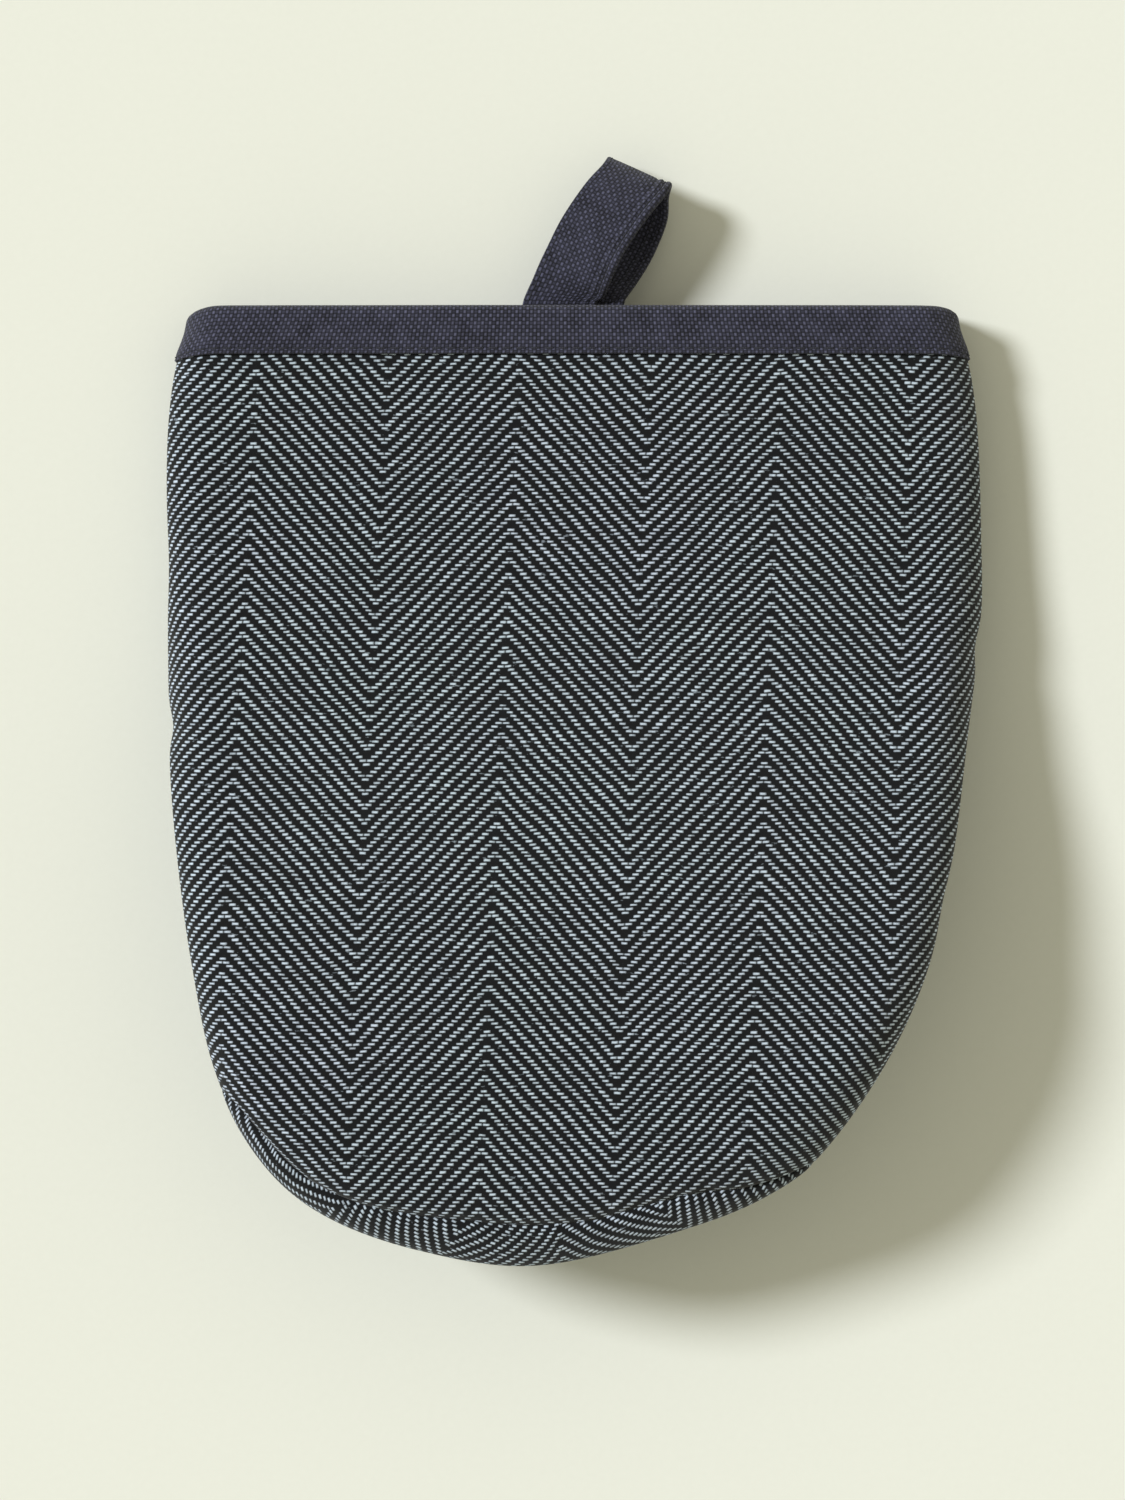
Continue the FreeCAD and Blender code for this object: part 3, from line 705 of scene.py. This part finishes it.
def shade(*levels):
    """A colour given as 0 to 255 levels as seen on a screen, in linear values."""
    c = np.array(levels) / 255
    linear = np.where(c <= 0.04045, c / 12.92, ((c + 0.055) / 1.055) ** 2.4)
    return (*(float(v) for v in linear), 1.0)


TWILL_PITCH = 0.73
CHEVRON_ENDS = 36
CHEVRON_START = -63.4
GRAIN_LEAN = 0.047


def herringbone(name):
    """Two-up two-down twill whose direction turns back every 36 ends: pale slubby floats over a
    dark ground.  ends and picks count the threads; the step of the twill is the row of picks plus
    the mirrored count of ends, and a float shows over two of its four steps."""
    f = Finish(name, Roughness=0.93, Sheen_Weight=0.12, Sheen_Roughness=0.6, Specular_IOR_Level=0.25)
    u, v = f.uv()
    wander = f.noise(f.vector(u, v), 0.11, 1.0) - 0.5
    lean = u + (WRIST_Y - v) * GRAIN_LEAN + wander * 1.2
    ends = (lean - CHEVRON_START) / TWILL_PITCH
    sway = f.noise(f.vector(u, v), 0.05, 1.0) - 0.5
    picks = (v + sway * 1.6 + f.noise(f.vector(u, v), 0.6, 1.0) * 0.25) / TWILL_PITCH
    mirrored = ends.pingpong(float(CHEVRON_ENDS))
    row = picks.floor()
    phase = (mirrored + row) % 4.0
    along = (phase - 1.0).size()
    across = (picks.fract() - 0.5).size()
    slub = f.noise(f.vector(u * 0.10, row * 7.31), 1.0, 3.0, 0.6)
    patch = f.noise(f.vector(ends.floor() * 3.7, row * 5.3), 1.0, 0.0)
    width = 0.19 + slub * 0.36
    dash = (1.0 - (along / 1.0).power(3.5)).clamp() * (1.0 - (across / width).power(2.5)).clamp()
    fleck = f.noise(f.vector(u * 0.35, v * 0.9), 1.0, 2.0, 0.6)
    fleck = ((fleck - 0.66) * 9.0).clamp()
    fuzz = f.noise(f.vector(u, v), 3.1, 3.0, 0.7)
    thread = (dash * (0.10 + patch * 0.85 + slub * 0.95) + fleck * 0.85 * fuzz
              + (fuzz - 0.62) * 0.35).clamp()
    ground = shade(3, 5, 10)
    pale = shade(205, 221, 237)
    body = f.mix(thread, ground, pale)
    cloud = f.noise(f.object_place(), 24.0, 2.0)
    body = f.node("ShaderNodeMix", {"data_type": "RGBA", "blend_type": "MULTIPLY"}, {
        0: 1.0, 6: body, 7: f.mix(cloud, shade(248, 255, 246), shade(255, 246, 255))}, output=2)
    f.set("Base Color", body)
    f.bump(thread * 0.8 + f.noise(f.object_place(), 900.0, 2.0) * 0.4, 0.28, 0.8)
    return f.material


def canvas(name, dark, pale, pitch):
    """Plain basket weave of dark yarns: each crossing is a rounded pad, over and under in turn. Its colour is
    painted light and shade on one dark yarn: pale crowns, dimmer crossings the other way, dark gaps between them,
    with random tone from slubs and lint.
    """
    f = Finish(name, Roughness=0.9, Sheen_Weight=0.1, Sheen_Roughness=0.6, Specular_IOR_Level=0.25)
    u, v = f.uv()
    a, b = u / pitch, v / pitch
    turn = (a.floor() + b.floor()) % 2.0
    da, db = (a.fract() - 0.5).size(), (b.fract() - 0.5).size()
    warp = (1.0 - (da / 0.50).power(2.2)).clamp() * (1.0 - (db / 0.56).power(3.0)).clamp()
    weft = (1.0 - (db / 0.50).power(2.2)).clamp() * (1.0 - (da / 0.56).power(3.0)).clamp()
    # Painted light and shade: the crowns of the crossings are pale, the crossings the other way are dimmed to 0.4,
    # and the gaps between them are dark. The same relief also feeds the bump.
    crown_relief_and_light = turn * warp + (1.0 - turn) * weft * 0.4
    slub = f.noise(f.vector(a.floor() * 1.7, b.floor() * 2.3), 1.0, 1.0)
    lint = f.noise(f.object_place(), 260.0, 3.0, 0.65)
    thread = (crown_relief_and_light * (0.25 + slub * 0.8) + (lint - 0.5) * 0.35).clamp()
    # The mix paints light on the crowns and shade in the gaps; the slubs and lint add random tone.
    f.set("Base Color", f.mix(thread, shade(*dark), shade(*pale)))
    f.bump(crown_relief_and_light + lint * 0.4, 0.22, 0.9)
    return f.material


def felt(name, dark, pale):
    """Matted wadding: soft cloudy fibres."""
    f = Finish(name, Roughness=0.97, Sheen_Weight=0.2, Sheen_Roughness=0.7, Specular_IOR_Level=0.15)
    fibre = f.noise(f.object_place(), 420.0, 4.0, 0.7)
    cloud = f.noise(f.object_place(), 60.0, 2.0)
    f.set("Base Color", f.mix((fibre * 0.6 + cloud * 0.4).clamp(), shade(*dark), shade(*pale)))
    f.bump(fibre + cloud, 0.5, 0.8)
    return f.material


def yarn(name, dark, pale):
    """Twisted sewing thread: fine slanting ply lines."""
    f = Finish(name, Roughness=0.7, Sheen_Weight=0.1, Sheen_Roughness=0.5, Specular_IOR_Level=0.3)
    place = f.object_place()
    ply = f.node("ShaderNodeTexWave", inputs={"Vector": place, "Scale": 900.0, "Distortion": 1.5})
    fuzz = f.noise(place, 1500.0, 2.0)
    f.set("Base Color", f.mix((ply * 0.6 + fuzz * 0.4).clamp(), shade(*dark), shade(*pale)))
    f.bump(ply, 0.06, 0.6)
    return f.material


def table_top():
    """A pale matt surface with a fine grain."""
    f = Finish("table_top", Roughness=0.85, Specular_IOR_Level=0.2)
    grain = f.noise(f.object_place(), 700.0, 3.0, 0.6)
    broad = f.noise(f.object_place(), 3.0, 1.0)
    f.set("Base Color", f.mix((grain * 0.5 + broad * 0.5).clamp(),
                              shade(234, 235, 226), shade(241, 242, 233)))
    f.bump(grain, 0.05, 0.3)
    return f.material


# ---------------------------------------------------------------- assembly
def dress(piece, material, body=None, replaces=()):
    """Gives a piece its material and its body, and hides the frame nodes it stands for."""
    piece.data.materials.clear()
    piece.data.materials.append(material)
    if body:
        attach(piece, body)
    if replaces:
        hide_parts(*replaces)
    return piece


FINISHES = {
    "cloth": (herringbone("herringbone_cloth"), "herringbone_cloth"),
    "batting": (felt("wadding_felt", (196, 192, 182), (226, 223, 214)), "wadding"),
    "lining": (canvas("lining_cotton", (104, 106, 108), (168, 170, 171), 0.42), "lining"),
}
CANVAS = canvas("binding_canvas", (3, 3, 11), (104, 105, 133), 0.76)
TAPE = canvas("loop_tape", (3, 3, 10), (98, 99, 126), 0.74)
DARK_THREAD = yarn("dark_thread", (20, 20, 28), (58, 59, 70))
GREY_THREAD = yarn("grey_thread", (44, 48, 52), (96, 101, 105))
CAD_LAYER = {"cloth": "panel", "batting": "wadding", "lining": "lining"}

walls = {**hand_walls(), **palm_walls()}
for (part, layer), piece in walls.items():
    material, slot = FINISHES[layer]
    node = CAD_LAYER[layer]
    stands_for = [f"{part}_{node}"]
    if part == "palm":
        stands_for += [f"palm_bend_{node}", f"thumb_{node}"]
    body = {"back": "mitt", "finger_grip": "mitt", "thumb_grip": "thumb_jaw"}.get(part)
    dress(piece, material, body, stands_for)
    if part == "palm":
        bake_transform(piece)

dress(build_binding(), CANVAS, "mitt", ["wrist_binding"])


def ring_stitches():
    """The line of stitching round the binding, in the groove beside its lower edge."""
    y = np.array([WRIST_Y - 8.85, WRIST_Y - 8.85])
    loops = wrist_ring(y, np.zeros(2), np.array([0.78, 1.78]))
    line = np.vstack([loops[0], loops[0][:1]])
    out = np.vstack([loops[1] - loops[0], (loops[1] - loops[0])[:1]])
    return stitches("binding_stitches", line, out, 2.1, 0.7, 0.5, 0.5)


dress(ring_stitches(), DARK_THREAD, "mitt", ["binding_stitching"])


def seam_threads(name, wall_rays, seam, radius, heights, keep):
    """Thread in the groove of a side seam: the skin's own line at the seam's column."""
    column = seam[:, None]
    line = skin(wall_rays, column, (0.25, 0.25, 0.25), heights, seam, radius)[:, 0]
    outer = skin(wall_rays, column, (-1.0, -1.0, -1.0), heights, seam, radius)[:, 0]
    return stitches(name, line[keep], (outer - line)[keep], 2.4, 0.8, 0.45, 0.4)


def build_seams():
    """The three side seams: sleeve, finger jaw and thumb jaw."""
    wall_rays = rays(HAND_LINE, WALL_END_Y)
    seam = seam_column(*wall_rays)
    heights = (back_height, hand_widest, lambda y: np.where(y > FOLD_Y, palm_height(y), sole(y)))
    station = wall_rays[1][:, 1]
    radius = edge_radius(wall_rays[1])
    middle = len(station) // 2
    left_sleeve = (station > BEND_END_Y) & (np.arange(len(station)) < middle)
    right_sleeve = (station > BEND_END_Y) & (np.arange(len(station)) > middle)
    left = seam_threads("side_seam_left", wall_rays, seam, radius, heights, left_sleeve)
    right = seam_threads("side_seam_right", wall_rays, seam, radius, heights, right_sleeve)
    finger = seam_threads("finger_seam", wall_rays, seam, radius, heights, station <= FOLD_Y)
    thumb_rays = rays(THUMB_LINE, FOLD_Y)
    count = len(thumb_rays[0])
    thumb_heights = (lambda y: np.full_like(y, THUMB_HEIGHT), thumb_widest, lambda y: palm_height(y))
    thumb = seam_threads("thumb_seam", thumb_rays, np.full(count, 2.0), np.full(count, 7.5), thumb_heights,
                         np.ones(count, bool))
    dress(left, GREY_THREAD, "mitt", ["side_seam_stitching"])
    dress(right, GREY_THREAD, "mitt")
    dress(finger, GREY_THREAD, "mitt", ["finger_seam_stitching"])
    dress(thumb, GREY_THREAD, "thumb_jaw", ["thumb_seam_stitching"])


build_seams()

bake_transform(dress(build_tape(), TAPE, None, ["hanging_loop"]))
PLACE, TANGENT, ACROSS, OUTWARD = loop_frames()
for label, share in STITCH_PLACES.items():
    line = PLACE + ACROSS * share * TAPE_WIDTH / 2 + OUTWARD * 0.45
    made = stitches(f"loop_stitches_{label}", line, OUTWARD, 1.9, 0.6, 0.4, 0.4)
    dress(made, DARK_THREAD, None, [f"loop_stitching_{label}"])
    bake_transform(made)
dress(slab("loop_tail_strip", *corners("loop_tails")), TAPE, "mitt", ["loop_tails"])


def build_tack():
    """The bar tack across the tails: close satin stitches side by side."""
    low, high = corners("loop_bar_tack")
    count = 22
    x = np.linspace(low[0] + 0.3, high[0] - 0.3, count)
    sets = [stitches(f"tack_{i}", np.array([[v, low[1], low[2] + 0.2], [v, high[1], low[2] + 0.2]]),
                     np.array([[0, 0, -1.0], [0, 0, -1.0]]), high[1] - low[1] - 0.1, 0.0, 0.55, 0.5)
            for i, v in enumerate(x)]
    bpy.ops.object.select_all(action="DESELECT")
    for piece in sets:
        piece.select_set(True)
    bpy.context.view_layer.objects.active = sets[0]
    bpy.ops.object.join()
    sets[0].name = "loop_tack_stitches"
    return sets[0]


dress(build_tack(), DARK_THREAD, "mitt", ["loop_bar_tack"])


# ---------------------------------------------------------------- stage, light and camera
def build_stage():
    """A wide pale table top under the mitt."""
    turn = np.linspace(0, 2 * math.pi, 96, endpoint=False)
    rim = np.stack([np.cos(turn), np.sin(turn), 0 * turn], axis=1) * 4000 + [0, 0, -0.15]
    vertices = np.vstack([rim, [[0, 0, -0.15]]])
    k = np.arange(96)
    faces = np.stack([np.full(96, 96), k, (k + 1) % 96], axis=1)
    floor = make_object("floor", vertices, faces, smooth_faces=False)
    floor.data.materials.append(table_top())


def build_light():
    """A broad soft key from the upper left, and an even warm room light."""
    key = bpy.data.lights.new("key", "SUN")
    key.energy = 2.75
    key.angle = math.radians(14)
    key.color = (0.93, 0.96, 1.0)
    lamp = bpy.data.objects.new("key", key)
    bpy.context.scene.collection.objects.link(lamp)
    height = math.radians(42)
    source = Vector((-0.93 * math.cos(height), 0.36 * math.cos(height), math.sin(height)))
    lamp.rotation_euler = source.to_track_quat("Z", "Y").to_euler()
    world = bpy.data.worlds.new("room")
    world.use_nodes = True
    world.node_tree.nodes["Background"].inputs[0].default_value = (0.455, 0.44, 0.345, 1)
    world.node_tree.nodes["Background"].inputs[1].default_value = 1.0
    bpy.context.scene.world = world


def build_camera():
    """Straight down over the mitt, from 1.1 m above its back."""
    camera = bpy.data.cameras.new("camera")
    camera.sensor_width = 36
    camera.lens = 36 * 1100 / 300
    view = bpy.data.objects.new("camera", camera)
    bpy.context.scene.collection.objects.link(view)
    view.location = (-2.7 * MM, -7.9 * MM, 1.12)
    view.rotation_euler = (0, 0, 0)
    bpy.context.scene.camera = view


build_stage()
build_light()
build_camera()
bpy.context.scene.view_settings.view_transform = "Standard"
